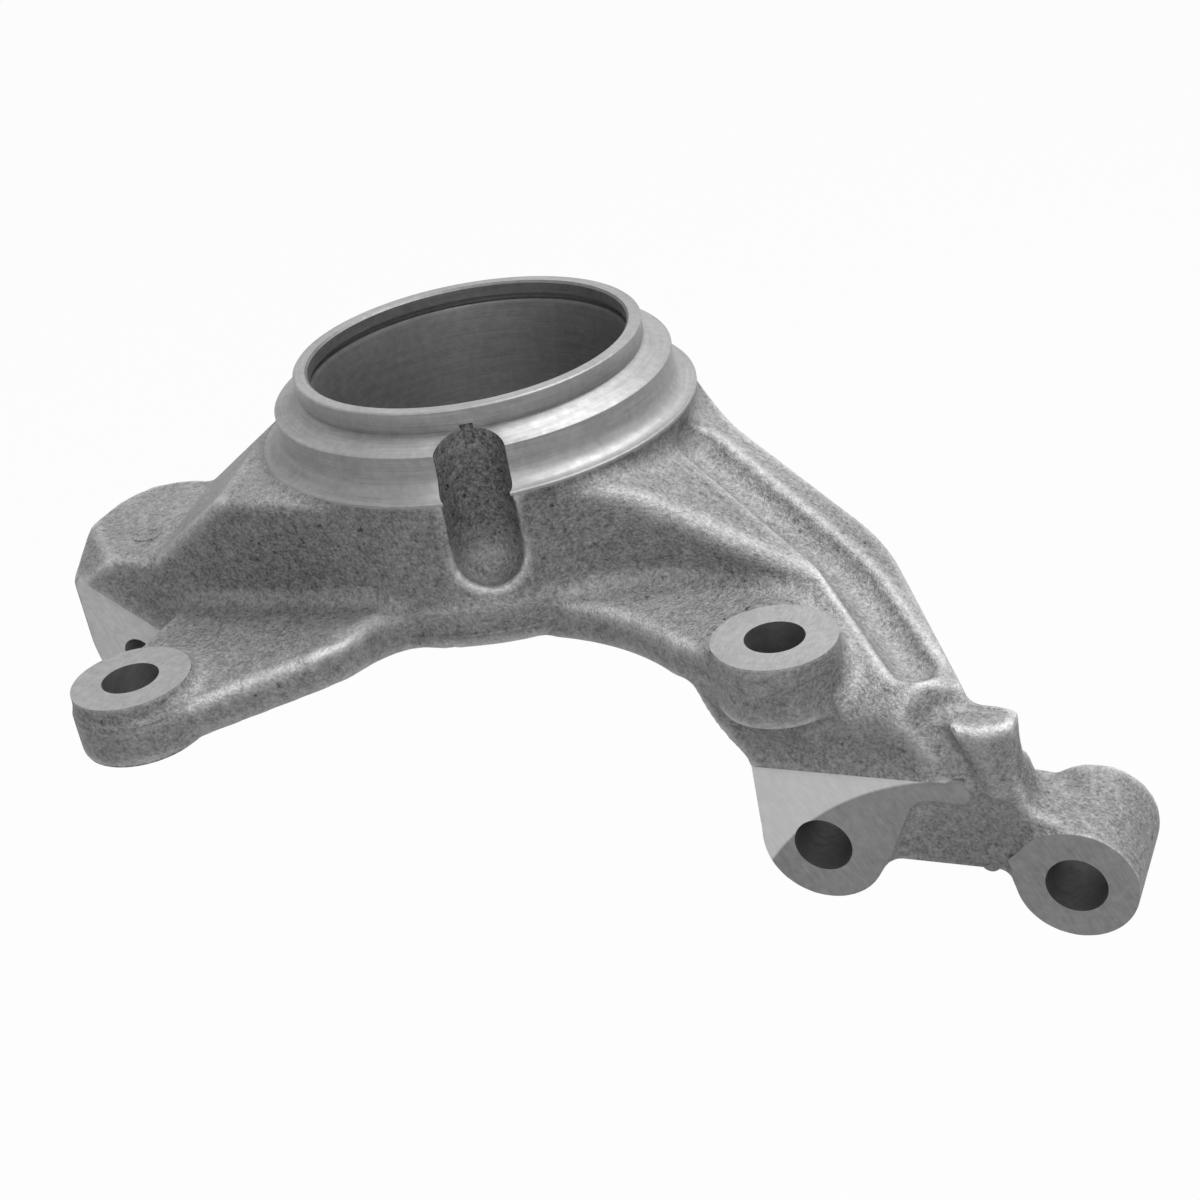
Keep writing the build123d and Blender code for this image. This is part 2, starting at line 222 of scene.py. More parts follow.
# Post at the foot of the arm, seen from above at its top and at its toe
POST_TOP = [
    (138.4, -50.0),
    (138.4, -61.9),
    (142.6, -62.9),
    (145.9, -62.4),
    (149.3, -60.7),
    (151.5, -58.3),
    (152.2, -54.5),
    (150.7, -51.6),
    (147.0, -50.0),
]
POST_TOP_Z = -68.4
POST_TOE = [(146.0, -50.0), (146.0, -61.5), (149.5, -62.0), (152.5, -60.0), (153.2, -50.0)]
POST_TOE_Z = -87.0

# Low bridge from the post's toe to the round boss, and the slope that falls past the post
SADDLE = [(146.0, -60.0, -90.5), (157.0, -60.0, -93.0), (156.5, -36.0, -95.6), (146.0, -36.0, -93.8)]
SADDLE_FOOT_Z = -106.0
SLOPE_X = (112.0, 146.0)
SLOPE_Y = (-66.0, -40.0)
SLOPE_START = Vector((118.0, STRUT_FACE_Y, -56.0))
SLOPE_FALL_X = -1.25
SLOPE_RISE_Y = 1.5
SLOPE_DEPTH = 40.0

# Skin of the casting
WELD = 0.001
VOXEL = 0.9
FACE_LIMIT = 165000
STOCK = 2.0
PLUG_WALL = 3.0
PLUG_Z = (-57.0, -1.0)
ROOT_FILLET = 2.5
SOFTENING = 4
CREST_SPREAD = 5
CREST_R = 3.2
SHARP_ANGLE = math.radians(32)

# Faces round one full turn of a form
ROUND = 128
ROD_ROUND = 64
MARK_ROUND = 32
PIN_ROUND = 24

# Patterns on the iron, in lumps or marks per metre
SAND_GRAINS = 1250.0
SAND_LUMPS = 520.0
SKIN_WAVES = 150.0
SKIN_PITS = 330.0
SKIN_CLOUDS = 24.0
SKIN_GLOSS = 900.0
TOOL_RINGS = 2400.0
TOOL_LINES = 2200.0
CUT_CLOUDS = 38.0
CUT_SPECKS = 480.0
CUT_GLOSS = 420.0

# How fast the two brighter areas fade in at their edges, per metre: the outer pass on the pad and
# the painted highlight in the slot
PASS_EDGE = 1500.0
SLOT_HIGHLIGHT_EDGE = 180.0

# Greys of the iron, each from its darkest to its lightest, and what is added to them
SAND_GREY = (-0.16, 0.48)
CLOUD_GREY = (-0.08, 0.12)
PIT_START = 0.66
PIT_DARK = 1.2
# Painted highlights on the convex crests and in the concave roots of the cast skin
CREST_PAINTED_HIGHLIGHT = 0.30
ROOT_PAINTED_HIGHLIGHT = 0.12
# Painted shade over the slot's faces and a painted highlight round its bottom
SLOT_PAINTED_SHADE = 0.04
SLOT_PAINTED_HIGHLIGHT = 0.65
TURNED_GREY = (0.06, 0.48)
BORED_GREY = (0.03, 0.26)
MILLED_GREY = (0.07, 0.48)
# Milled grey lightened by painted sheen, for the clamp face
CLAMP_SHEEN_GREY = (0.20, 0.72)
PAD_GREY = (0.04, 0.40)
PASS_BRIGHT = 0.34

# Roughness of the iron, from its glossiest to its dullest
CAST_ROUGHNESS = (0.42, 0.72)
CUT_ROUGHNESS = (0.42, 0.66)

# Studio, in metres and watts
FLOOR_DROP = 0.25
FLOOR_HALF = 4.0
FLOOR_THICKNESS = 0.01
FLOOR_GREY = (0.4, 0.4, 0.4, 1)
FLOOR_WHITE = 0.97
WHITE = (1, 1, 1, 1)
SKY_LIGHT = 0.30
SKY_WHITE = 1.0
KEY = {"place": (0.35, 0.3, 1.0), "target": (0.02, -0.03, -0.05), "size": 0.6, "power": 16}
FILL = {"place": (0.3, -0.65, 0.45), "target": (0.05, -0.05, -0.06), "size": 0.5, "power": 3}
CAMERA_PLACE = Vector((250.75, -438.67, 184.38)) * MM
CAMERA_AZIMUTH = math.radians(-27.208)
CAMERA_ELEVATION = math.radians(27.905)
CAMERA_ROLL = math.radians(-10.225)
CAMERA_SENSOR = 36
CAMERA_LENS = 60.93


def mesh_object(name, bm):
    """A new object in the scene from a bmesh given in millimetres."""
    mesh = bpy.data.meshes.new(name)
    bmesh.ops.recalc_face_normals(bm, faces=bm.faces)
    bm.transform(Matrix.Scale(MM, 4))
    bm.to_mesh(mesh)
    bm.free()
    made = bpy.data.objects.new(name, mesh)
    bpy.context.scene.collection.objects.link(made)
    return made


def lathe(name, profile, segments=ROUND):
    """Closed outline of (radius, height) turned round Z."""
    bm = bmesh.new()
    rings = []
    for step in range(segments):
        turn = 2 * math.pi * step / segments
        rings.append([bm.verts.new((r * math.cos(turn), r * math.sin(turn), z)) for r, z in profile])
    for step in range(segments):
        here, there = rings[step], rings[(step + 1) % segments]
        for k in range(len(profile)):
            j = (k + 1) % len(profile)
            bm.faces.new((here[k], here[j], there[j], there[k]))
    bmesh.ops.remove_doubles(bm, verts=bm.verts, dist=WELD)
    bmesh.ops.dissolve_degenerate(bm, edges=bm.edges, dist=WELD)
    return mesh_object(name, bm)


def rod(name, start, end, radius, segments=ROD_ROUND):
    """Round bar from start to end."""
    start, end = Vector(start), Vector(end)
    bm = bmesh.new()
    turn = (end - start).to_track_quat("Z", "Y").to_matrix().to_4x4()
    bmesh.ops.create_cone(
        bm,
        cap_ends=True,
        segments=segments,
        radius1=radius,
        radius2=radius,
        depth=(end - start).length,
        matrix=Matrix.Translation((start + end) / 2) @ turn,
    )
    return mesh_object(name, bm)


def rod_x(name, centre, ends, radius):
    """Round bar along X through a centre."""
    return rod(name, (ends[0], centre.y, centre.z), (ends[1], centre.y, centre.z), radius)


def rod_y(name, centre, ends, radius):
    """Round bar along Y through a centre."""
    return rod(name, (centre.x, ends[0], centre.z), (centre.x, ends[1], centre.z), radius)


def rod_z(name, centre, ends, radius, segments=ROD_ROUND):
    """Round bar along Z through a centre."""
    return rod(name, (centre.x, centre.y, ends[0]), (centre.x, centre.y, ends[1]), radius, segments)


def block(name, low, high):
    """Box between two corners."""
    low, high = Vector(low), Vector(high)
    bm = bmesh.new()
    bmesh.ops.create_cube(bm, size=1)
    size = Matrix.Diagonal(high - low).to_4x4()
    bmesh.ops.transform(bm, matrix=Matrix.Translation((low + high) / 2) @ size, verts=bm.verts)
    return mesh_object(name, bm)


def prism(name, corners, travel):
    """A flat outline in space drawn out by a vector."""
    bm = bmesh.new()
    face = bm.faces.new([bm.verts.new(corner) for corner in corners])
    drawn = bmesh.ops.extrude_face_region(bm, geom=[face])
    far = [v for v in drawn["geom"] if isinstance(v, bmesh.types.BMVert)]
    bmesh.ops.translate(bm, vec=travel, verts=far)
    return mesh_object(name, bm)


def side_prism(name, outline, y_low, y_high):
    """Outline of (x, z) drawn out along Y."""
    return prism(name, [(x, y_low, z) for x, z in outline], (0, y_high - y_low, 0))


def plan_prism(name, outline, z_low, z_high):
    """Outline of (x, y) drawn out along Z."""
    return prism(name, [(x, y, z_low) for x, y in outline], (0, 0, z_high - z_low))


def hull(name, corners):
    """The smallest convex body round some points."""
    bm = bmesh.new()
    for corner in corners:
        bm.verts.new(corner)
    bmesh.ops.convex_hull(bm, input=bm.verts)
    return mesh_object(name, bm)


def arc(centre, radius, start, end, steps=8):
    """Points on a circle between two angles in degrees."""
    turns = [math.radians(start + (end - start) * k / steps) for k in range(steps + 1)]
    return [(centre[0] + radius * math.cos(a), centre[1] + radius * math.sin(a)) for a in turns]


def moved(target, x, y):
    """Shifts the object's mesh sideways by millimetres."""
    target.data.transform(Matrix.Translation(Vector((x, y, 0)) * MM))
    return target


def bake(target):
    """Replaces the object's mesh by its mesh with all modifiers applied."""
    graph = bpy.context.evaluated_depsgraph_get()
    baked = bpy.data.meshes.new_from_object(target.evaluated_get(graph))
    target.modifiers.clear()
    target.data = baked


def combine(target, operation, *tools):
    """Joins tools to the target or cuts them out of it, then removes the tools."""
    for tool in tools:
        modifier = target.modifiers.new("combine", "BOOLEAN")
        modifier.operation = operation
        modifier.solver = "MANIFOLD"
        modifier.material_mode = "TRANSFER"
        modifier.object = tool
    bake(target)
    for tool in tools:
        bpy.data.objects.remove(tool)


class Value:
    """A shader socket that takes part in Python arithmetic."""

    def __init__(self, tree, socket):
        self.tree, self.socket = tree, socket

    def output(self, key):
        """Another output of the same node."""
        return Value(self.tree, self.socket.node.outputs[key])

    def math(self, operation, *others):
        """One Math node on this value and the others."""
        return self.tree.node("ShaderNodeMath", self, *others, operation=operation)

    def clamped(self):
        """The value kept between 0 and 1."""
        return self.math("MAXIMUM", 0.0).math("MINIMUM", 1.0)

    def __add__(self, other):
        return self.math("ADD", other)

    __radd__ = __add__

    def __mul__(self, other):
        return self.math("MULTIPLY", other)

    __rmul__ = __mul__

    def __sub__(self, other):
        return self.math("SUBTRACT", other)

    def __rsub__(self, other):
        return (self * -1) + other

    def __pow__(self, other):
        return self.math("POWER", other)


class Tree:
    """A node tree that makes one node per call."""

    def __init__(self, owner):
        owner.use_nodes = True
        self.nodes, self.links = owner.node_tree.nodes, owner.node_tree.links
        self.nodes.clear()

    def node(self, kind, *inputs, output=0, named=None, **settings):
        """One node with its sockets set or linked, and one of its outputs."""
        made = self.nodes.new(kind)
        for key, value in settings.items():
            setattr(made, key, value)
        for place, value in [*enumerate(inputs), *(named or {}).items()]:
            if isinstance(value, Value):
                self.links.new(value.socket, made.inputs[place])
            else:
                made.inputs[place].default_value = value
        return Value(self, made.outputs[output]) if len(made.outputs) else None


def grey(tree, level):
    """Colour of one grey level."""
    return tree.node("ShaderNodeCombineColor", level, level, level)


def noise(tree, place, scale, detail=3.0, roughness=0.6):
    """Cloudy pattern from 0 to 1."""
    return tree.node(
        "ShaderNodeTexNoise",
        named={"Vector": place, "Scale": scale, "Detail": detail, "Roughness": roughness},
    )


def between(level, low, high):
    """A level from 0 to 1 spread between low and high."""
    return level * (high - low) + low


def axes(tree, place):
    """The three coordinates of a place."""
    first = tree.node("ShaderNodeSeparateXYZ", place)
    return [first.output(k) for k in range(3)]


def iron(name, level, roughness, height, metallic, strength, depth):
    """A material from its grey level, roughness and relief."""
    material = bpy.data.materials.new(name)
    tree = Tree(material)
    place = tree.node("ShaderNodeTexCoord", output="Object")
    bump = tree.node(
        "ShaderNodeBump",
        named={"Strength": strength, "Distance": depth, "Height": height(tree, place)},
    )
    shader = tree.node(
        "ShaderNodeBsdfPrincipled",
        named={
            "Base Color": grey(tree, level(tree, place)),
            "Metallic": metallic,
            "Roughness": roughness(tree, place),
            "Normal": bump,
        },
    )
    tree.node("ShaderNodeOutputMaterial", shader)
    return material


def cast_iron(name, level):
    """Iron as it came out of the mould."""
    return iron(name, level, cast_roughness, cast_relief, metallic=0.3, strength=0.75, depth=0.0008)


def cut_iron(name, level, marks, metallic=0.5):
    """Iron cut by a tool that left fine marks."""
    return iron(name, level, cut_roughness, marks, metallic, strength=0.3, depth=0.0001)


def sand(tree, place):
    """Grains left by the mould, from coarse lumps to single grains."""
    grains = noise(tree, place, SAND_GRAINS, detail=2.0, roughness=0.7)
    return grains * 0.6 + noise(tree, place, SAND_LUMPS, detail=2.0) * 0.4


def cast_level(tree, place):
    """Grey of the cast skin: grain, clouds and pits, with painted highlights on crests and in roots.
    """
    clouds = noise(tree, place, SKIN_CLOUDS)
    pits = noise(tree, place, SKIN_PITS, detail=2.0)
    dark = (pits - PIT_START).math("MAXIMUM", 0.0) * PIT_DARK
    crest = tree.node("ShaderNodeAttribute", output="Fac", attribute_name="crest")
    # Painted highlight on convex crests and in concave roots
    crest_highlight = crest.math("MAXIMUM", 0.0) * CREST_PAINTED_HIGHLIGHT - crest.math("MINIMUM", 0.0) * ROOT_PAINTED_HIGHLIGHT
    return between(sand(tree, place), *SAND_GREY) + between(clouds, *CLOUD_GREY) - dark + crest_highlight


def slot_level(tree, place):
    """Cast grey with painted shade over the slot and a painted highlight round the bottom of the
    slot.
    """
    x, y, z = axes(tree, place)
    foot = SLOT_AHEAD * SLOT_AXIS_R * MM
    across, ahead, up = x - foot.x, y - foot.y, z - SLOT_END * MM
    away = (across * across + ahead * ahead + up * up) ** 0.5
    # Painted highlight round the bottom of the slot, fading out at its edge
    slot_highlight = ((SLOT_HIGHLIGHT_R * MM - away) * SLOT_HIGHLIGHT_EDGE).clamped()
    # Painted shade taken off all of the slot's faces
    return cast_level(tree, place) + slot_highlight * SLOT_PAINTED_HIGHLIGHT - SLOT_PAINTED_SHADE


def cast_relief(tree, place):
    """Height of the cast skin: sand grains on longer waves."""
    return sand(tree, place) + noise(tree, place, SKIN_WAVES, detail=2.0, roughness=0.5) * 0.9


def cast_roughness(tree, place):
    """Roughness of the cast skin."""
    return between(noise(tree, place, SKIN_GLOSS), *CAST_ROUGHNESS)


def ring_marks(tree, place):
    """Fine rings left by turning round the bearing axis."""
    x, y, z = axes(tree, place)
    across = (x * x + y * y) ** 0.5 + z * 0.9
    along = tree.node("ShaderNodeCombineXYZ", across, x * 0.02, y * 0.02)
    return noise(tree, along, TOOL_RINGS, detail=2.0)


def straight_marks(tree, place):
    """Fine straight marks left by milling."""
    x, y, z = axes(tree, place)
    along = tree.node("ShaderNodeCombineXYZ", x + z * 0.6, y * 0.15, z * 0.15)
    return noise(tree, along, TOOL_LINES, detail=2.0)


def cut_level(low, high, marks):
    """Grey of cut metal between low and high, with marks, clouds and specks."""

    def level(tree, place):
        clouds = noise(tree, place, CUT_CLOUDS)
        specks = noise(tree, place, CUT_SPECKS, roughness=0.65)
        mixed = marks(tree, place) * 0.35 + clouds * 0.3 + specks * 0.35
        return between(mixed, low, high)

    return level


def pad_level(tree, place):
    """Milled pad: brighter outside the arc where one pass of the cutter ended."""
    x, _, z = axes(tree, place)
    across, up = x - PAD_ARC_X * MM, z - PAD_ARC_Z * MM
    past = ((across * across + up * up) ** 0.5 - PAD_ARC_R * MM) * PASS_EDGE + 0.5
    return cut_level(*PAD_GREY, straight_marks)(tree, place) + past.clamped() * PASS_BRIGHT


def cut_roughness(tree, place):
    """Roughness of cut metal."""
    return between(noise(tree, place, CUT_GLOSS), *CUT_ROUGHNESS)


cast_skin = cast_iron("cast_skin", cast_level)
# Cast skin with painted shade and a painted highlight, for the slot
slot_skin = cast_iron("slot_skin", slot_level)
turned_skin = cut_iron("turned_skin", cut_level(*TURNED_GREY, ring_marks), ring_marks, metallic=0.55)
bored_skin = cut_iron("bored_skin", cut_level(*BORED_GREY, ring_marks), ring_marks, metallic=0.75)
pad_skin = cut_iron("pad_skin", pad_level, straight_marks)
# Milled iron lightened by painted sheen, for the clamp face
clamp_skin = cut_iron("clamp_skin", cut_level(*CLAMP_SHEEN_GREY, straight_marks), straight_marks)
milled_skin = cut_iron("milled_skin", cut_level(*MILLED_GREY, straight_marks), straight_marks)


def skinned(target, material):
    """Gives every face of the object one material."""
    target.data.materials.clear()
    target.data.materials.append(material)
    return target


def plugs():
    """Bars that close the bores and leave stock on the faces, for the raw casting."""
    bars = [rod("bore_plug", (0, 0, PLUG_Z[0]), (0, 0, PLUG_Z[1]), BEARING_R + PLUG_WALL)]
    for name in CALIPER_HOLES:
        ends = (BOSS_FOOT_Z, CALIPER_FACE_Z + STOCK)
        bars.append(rod_z(name, place_of(name), ends, BOSS_PLUG_R))
    for name in STRUT_HOLES:
        ends = (STRUT_FACE_Y - STOCK, STRUT_BACK_Y)
        bars.append(rod_y(name, place_of(name), ends, STRUT_PLUG_R[name]))
    tie = place_of("tie_rod_hole")
    tie_ends = (tie.x - TIE_PLUG_HALF, tie.x + TIE_PLUG_HALF)
    bars.append(rod_x("stud_plug", place_of("ball_stud_bore"), STUD_PLUG_X, LUG_PLUG_R))
    bars.append(rod_y("pinch_plug", place_of("pinch_bolt_hole"), PINCH_PLUG_Y, LUG_PLUG_R))
    bars.append(rod_x("tie_plug", tie, tie_ends, TIE_PLUG_R))
    return bars


def slope():
    """Cutter for the slope that falls from the arm to the foot of the post."""
    corners = []
    for x in SLOPE_X:
        for y in SLOPE_Y:
            rise = SLOPE_FALL_X * (x - SLOPE_START.x) + SLOPE_RISE_Y * (y - SLOPE_START.y)
            low = SLOPE_START.z + rise
            corners += [(x, y, low), (x, y, low + SLOPE_DEPTH)]
    return hull("slope", corners)


def stub_post():
    """Post at the foot of the arm: round front, its left side leaning in towards the toe."""
    top = [(x, y, POST_TOP_Z) for x, y in POST_TOP]
    return hull("post", top + [(x, y, POST_TOE_Z) for x, y in POST_TOE])


def saddle():
    """Low bridge from the toe of the post to the round boss."""
    return hull("saddle", SADDLE + [(x, y, SADDLE_FOOT_Z) for x, y, _ in SADDLE])


def even_skin(target):
    """Wraps the whole body in an even skin of small faces."""
    remesh = target.modifiers.new("skin", "REMESH")
    remesh.mode = "VOXEL"
    remesh.voxel_size = VOXEL * MM
    remesh.use_smooth_shade = True


def crested(target):
    """Stores how convex the skin is at each point, for the painted highlights on crests and in
    roots.
    """
    mesh = target.data
    count = len(mesh.vertices)
    places, normals = np.empty(count * 3), np.empty(count * 3)
    mesh.vertices.foreach_get("co", places)
    mesh.vertices.foreach_get("normal", normals)
    places, normals = places.reshape(-1, 3) / MM, normals.reshape(-1, 3)
    ends = np.empty(len(mesh.edges) * 2, dtype=np.int64)
    mesh.edges.foreach_get("vertices", ends)
    here, there = ends.reshape(-1, 2).T
    near = np.bincount(ends, minlength=count)

    def around(values):
        total = np.bincount(here, values[there], count) + np.bincount(there, values[here], count)
        return total / near

    lengths = np.linalg.norm(places[here] - places[there], axis=1)
    span = (np.bincount(here, lengths, count) + np.bincount(there, lengths, count)) / near
    inward = places - np.stack([around(places[:, k]) for k in range(3)], axis=1)
    crest = (inward * normals).sum(axis=1) / span**2 * 2
    for _ in range(CREST_SPREAD):
        crest = (crest + around(crest)) / 2
    layer = mesh.attributes.new("crest", "FLOAT", "POINT")
    layer.data.foreach_set("value", np.clip(crest * CREST_R, -1, 1))


def raw_casting():
    """The casting before machining: bores plugged, stock left on faces, edges soft."""
    bm = bmesh.new()
    bm.from_mesh(casting_node.data)
    bmesh.ops.remove_doubles(bm, verts=bm.verts, dist=WELD * MM)
    bm.transform(Matrix.Scale(1 / MM, 4))
    raw = mesh_object("casting", bm)
    plate = lathe("plate", PLATE)
    pad = side_prism("pad", PAD_OUTLINE, STRUT_FACE_Y - STOCK, PAD_ROOT_Y)
    corner = plan_prism("shelf_corner", SHELF_CORNER, HOUSING_END, SHELF_CORNER_TOP)
    combine(raw, "UNION", *plugs(), plate, pad, corner)
    combine(raw, "DIFFERENCE", slope())
    combine(raw, "UNION", stub_post(), saddle())
    skinned(raw, cast_skin)
    for offset in (ROOT_FILLET, -ROOT_FILLET):
        even_skin(raw)
        grown = raw.modifiers.new("offset", "DISPLACE")
        grown.strength = offset * MM
        grown.mid_level = 0
        bake(raw)
    even_skin(raw)
    smooth = raw.modifiers.new("soften", "SMOOTH")
    smooth.factor = 0.5
    smooth.iterations = SOFTENING
    bake(raw)
    triangles = len(raw.data.polygons) * 2
    if triangles > FACE_LIMIT:
        thin = raw.modifiers.new("thin", "DECIMATE")
        thin.ratio = FACE_LIMIT / triangles
        bake(raw)
    crested(raw)
    return raw


def neck_room():
    """Cutter that clears the raw skin where the turned neck goes."""
    low, high = (0, 0, FLANGE_END + NECK_OVERLAP), (0, 0, NECK_ROOM_TOP)
    return rod("neck_room", low, high, NECK_ROOM_R, ROUND)


def turned_neck():
    """The lathe-turned end of the housing, with crisp edges."""
    foot_r = NECK_R - UNDERCUT
    sleeve_end = FLANGE_END - SLEEVE_LENGTH
    outside = [
        (BEARING_R - SLEEVE_WALL, 0.0),
        (NECK_R - EASE, 0.0),
        (NECK_R, -EASE),
        (NECK_R, -NECK_HEIGHT),
        (foot_r, NECK_FOOT + UNDERCUT_EASE[1]),
        (foot_r + UNDERCUT_EASE[0], NECK_FOOT),
        (LEDGE_R - EASE, LEDGE_Z),
        (LEDGE_R, LEDGE_Z - EASE),
        (LEDGE_R, COLLAR_Z),
        *arc((LEDGE_R + COLLAR_FOOT, COLLAR_Z), COLLAR_FOOT, 180, 270),
        (FLANGE_R - EASE, COLLAR_Z - COLLAR_FOOT),
        (FLANGE_R, COLLAR_Z - COLLAR_FOOT - EASE),
        (FLANGE_R, FLANGE_END),
        (BEARING_R + SLEEVE_WALL, FLANGE_END),
        (BEARING_R + SLEEVE_WALL, sleeve_end),
        (BEARING_R - SLEEVE_WALL, sleeve_end),
    ]
    return skinned(lathe("neck", outside), turned_skin)


def crisp_details():
    """Small cast forms that the soft skin would lose."""
    boss_b = place_of("caliper_hole_b")
    bump_root = (WEB_BUMP[0], WEB_BUMP_ROOT_Y, WEB_BUMP[2])
    details = [
        moved(lathe("skirt", SKIRT), boss_b.x, boss_b.y),
        lathe("flash", FLASH),
        moved(lathe("mark", MARK, MARK_ROUND), *MARK_PLACE),
        side_prism("pad", PAD_OUTLINE, STRUT_FACE_Y - PAD_LIP, PAD_LIP_ROOT_Y),
        side_prism("tail", TAIL, STRUT_FACE_Y - TAIL_PROUD, TAIL_ROOT_Y),
        rod("web_bump", WEB_BUMP, bump_root, WEB_BUMP_R, PIN_ROUND),
    ]
    return [skinned(detail, cast_skin) for detail in details]


def slot():
    """Cutters for the slot down the front and the small notch at its top."""
    radius = SLOT_R + SLOT_DRAFT
    profile = [
        (0, SLOT_TOP),
        (radius, SLOT_TOP),
        *arc((radius - SLOT_CORNER, SLOT_END + SLOT_CORNER), SLOT_CORNER, 0, -90),
        (0, SLOT_END),
    ]
    axis = SLOT_AHEAD * SLOT_AXIS_R
    trough = moved(lathe("slot", profile, ROD_ROUND), axis.x, axis.y)
    inner = SLOT_AHEAD * (SLOT_AXIS_R - SLOT_R + NOTCH_INSET)
    notch = rod_z("notch", inner, (NOTCH_LOW, NOTCH_HIGH), NOTCH_R, PIN_ROUND)
    return [skinned(trough, slot_skin), skinned(notch, slot_skin)]


def housing_bore():
    """Cutter for the bearing seat, its ring groove and the axle bore."""
    profile = [
        (0, BORE_ABOVE),
        (MOUTH_R + MOUTH_EASE, BORE_ABOVE),
        (MOUTH_R + MOUTH_EASE, 0.0),
        (MOUTH_R, -MOUTH_EASE),
        (MOUTH_R, -MOUTH_DEPTH),
        (GROOVE_R, -MOUTH_DEPTH),
        (GROOVE_R, -GROOVE_END),
        (BEARING_R + SEAT_EASE[0], -GROOVE_END),
        (BEARING_R, -GROOVE_END - SEAT_EASE[1]),
        (BEARING_R, -BEARING_END),
        (AXLE_R, -BEARING_END),
        (AXLE_R, BORE_BELOW),
        (0, BORE_BELOW),
    ]
    return skinned(lathe("housing_bore", profile), bored_skin)


def caliper_cuts(name):
    """Cutters for the face of one caliper boss, the room round it and its hole."""
    centre = place_of(name)
    face = rod_z(name + "_face", centre, (CALIPER_FACE_Z, BOSS_MILL_TOP), BOSS_FACE_R)
    clear_ends = (CALIPER_FACE_Z - BOSS_CLEAR_DROP, BOSS_CLEAR_TOP)
    clear = rod_z(name + "_clear", centre, clear_ends, BOSS_CLEAR_R)
    combine(clear, "DIFFERENCE", rod_z(name + "_post", centre, BOSS_POST, BOSS_FACE_R))
    drill = rod_z(name + "_drill", centre, (HOLE_END_Z[name], BOSS_MILL_TOP), radius_of(name))
    return [skinned(face, milled_skin), skinned(clear, cast_skin), skinned(drill, bored_skin)]


def strut_cuts():
    """Cutters for the face of the strut blade and its two holes."""
    mill = block("strut_mill", STRUT_MILL_LOW, (STRUT_MILL_END, STRUT_FACE_Y, STRUT_PAD_TOP))
    cuts = [skinned(mill, pad_skin)]
    for name in STRUT_HOLES:
        drill = rod_y(name + "_drill", place_of(name), STRUT_DRILL_Y, radius_of(name))
        cuts.append(skinned(drill, bored_skin))
    return cuts


def lug_cuts():
    """Cutters for the clamp lug: its face, stud bore, pinch hole and slit."""
    stud, pinch = place_of("ball_stud_bore"), place_of("pinch_bolt_hole")
    face = side_prism("clamp_mill", CLAMP_OUTLINE, CLAMP_MILL_Y, CLAMP_FACE_Y)
    slit_low = (STUD_DRILL_X[0], stud.y - SLIT_WIDTH / 2, SLIT_FOOT_Z)
    slit_high = (STUD_DRILL_X[1], stud.y + SLIT_WIDTH / 2, stud.z)
    drills = [
        rod_x("stud_drill", stud, STUD_DRILL_X, radius_of("ball_stud_bore")),
        rod_y("pinch_drill", pinch, PINCH_DRILL_Y, radius_of("pinch_bolt_hole")),
        block("slit", slit_low, slit_high),
    ]
    # The clamp face gets milled iron lightened by painted sheen
    return [skinned(face, clamp_skin), *(skinned(drill, milled_skin) for drill in drills)]


def tie_cut():
    """Cutter for the tie-rod hole."""
    tie = place_of("tie_rod_hole")
    ends = (tie.x - TIE_DRILL_HALF, tie.x + TIE_DRILL_HALF)
    return skinned(rod_x("tie_drill", tie, ends, radius_of("tie_rod_hole")), milled_skin)


def knuckle():
    """The finished casting: soft skin, crisp details, then everything a tool cut."""
    casting = raw_casting()
    combine(casting, "DIFFERENCE", neck_room())
    combine(casting, "UNION", *crisp_details(), turned_neck())
    cutters = [*slot(), housing_bore()]
    for name in CALIPER_HOLES:
        cutters += caliper_cuts(name)
    combine(casting, "DIFFERENCE", *cutters, *strut_cuts(), *lug_cuts(), tie_cut())
    casting.data.validate()
    casting.name = "knuckle"
    casting.data.name = "knuckle"
    for face in casting.data.polygons:
        face.use_smooth = True
    casting.data.set_sharp_from_angle(angle=SHARP_ANGLE)
    return casting


casting = knuckle()
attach(casting, "root")
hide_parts("knuckle_casting")


def seen_by(tree, first, *others):
    """1 for the named kinds of ray and 0 for the rest."""
    path = tree.node("ShaderNodeLightPath", output=first)
    seen = path
    for kind in others:
        seen = seen.math("MAXIMUM", path.output(kind))
    return seen


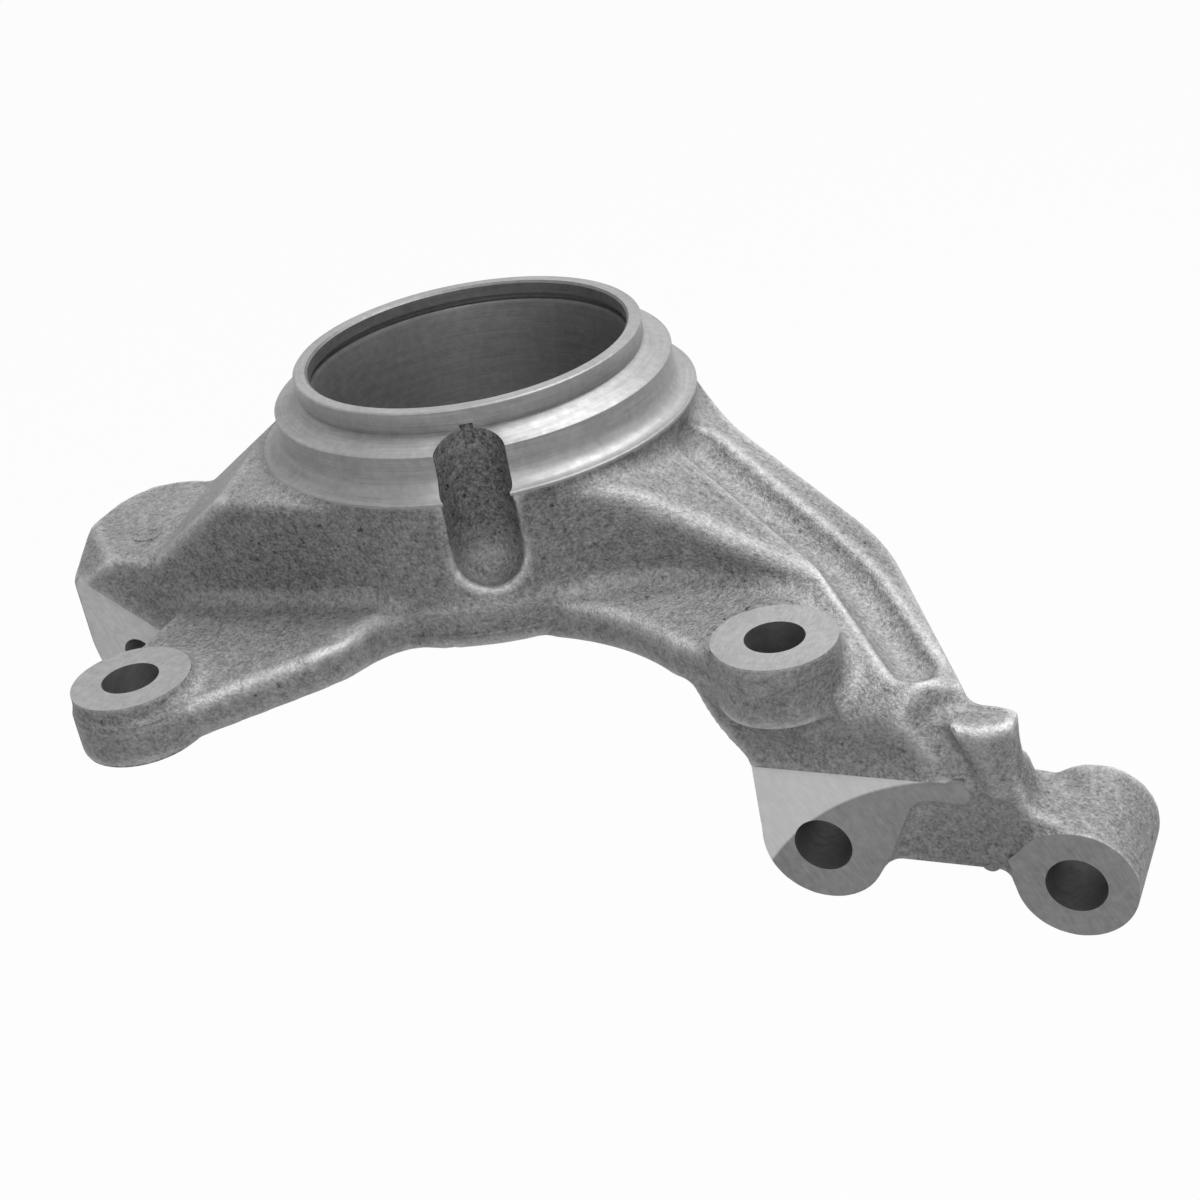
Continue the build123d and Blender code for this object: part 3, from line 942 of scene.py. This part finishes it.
def backdrop():
    """A plain white floor below the part."""
    top = (cad_low.z - FLOOR_DROP) / MM
    half = FLOOR_HALF / MM
    floor = block("floor", (-half, -half, top - FLOOR_THICKNESS / MM), (half, half, top))
    material = bpy.data.materials.new("floor")
    tree = Tree(material)
    seen = seen_by(tree, "Is Camera Ray", "Is Glossy Ray")
    lit = tree.node("ShaderNodeBsdfDiffuse", FLOOR_GREY)
    white = tree.node("ShaderNodeEmission", WHITE, 1.0)
    mixed = tree.node("ShaderNodeMixShader", seen * FLOOR_WHITE, lit, white)
    tree.node("ShaderNodeOutputMaterial", mixed)
    skinned(floor, material)


def sky():
    """White to the camera and in reflections, a soft light otherwise."""
    world = bpy.data.worlds.new("sky")
    bpy.context.scene.world = world
    tree = Tree(world)
    seen = seen_by(tree, "Is Camera Ray", "Is Glossy Ray", "Is Transmission Ray")
    shade = tree.node("ShaderNodeBackground", WHITE, between(seen, SKY_LIGHT, SKY_WHITE))
    tree.node("ShaderNodeOutputWorld", shade)


def lamp(name, place, target, size, power):
    """A soft square lamp turned to its target."""
    light = bpy.data.lights.new(name, "AREA")
    light.size = size
    light.energy = power
    made = bpy.data.objects.new(name, light)
    made.location = place
    made.rotation_euler = (Vector(target) - Vector(place)).to_track_quat("-Z", "Y").to_euler()
    bpy.context.scene.collection.objects.link(made)


def photograph_camera():
    """The photograph's point of view: place, direction and roll."""
    data = bpy.data.cameras.new("camera")
    data.sensor_width = CAMERA_SENSOR
    data.lens = CAMERA_LENS
    camera = bpy.data.objects.new("camera", data)
    bpy.context.scene.collection.objects.link(camera)
    level = math.cos(CAMERA_ELEVATION)
    forward = Vector(
        (
            math.sin(CAMERA_AZIMUTH) * level,
            math.cos(CAMERA_AZIMUTH) * level,
            -math.sin(CAMERA_ELEVATION),
        )
    )
    camera.location = CAMERA_PLACE
    camera.rotation_mode = "QUATERNION"
    rolled = Quaternion((0, 0, 1), CAMERA_ROLL)
    camera.rotation_quaternion = forward.to_track_quat("-Z", "Y") @ rolled
    bpy.context.scene.camera = camera


backdrop()
sky()
lamp("key", **KEY)
lamp("fill", **FILL)
photograph_camera()
bpy.context.scene.view_settings.view_transform = "Standard"
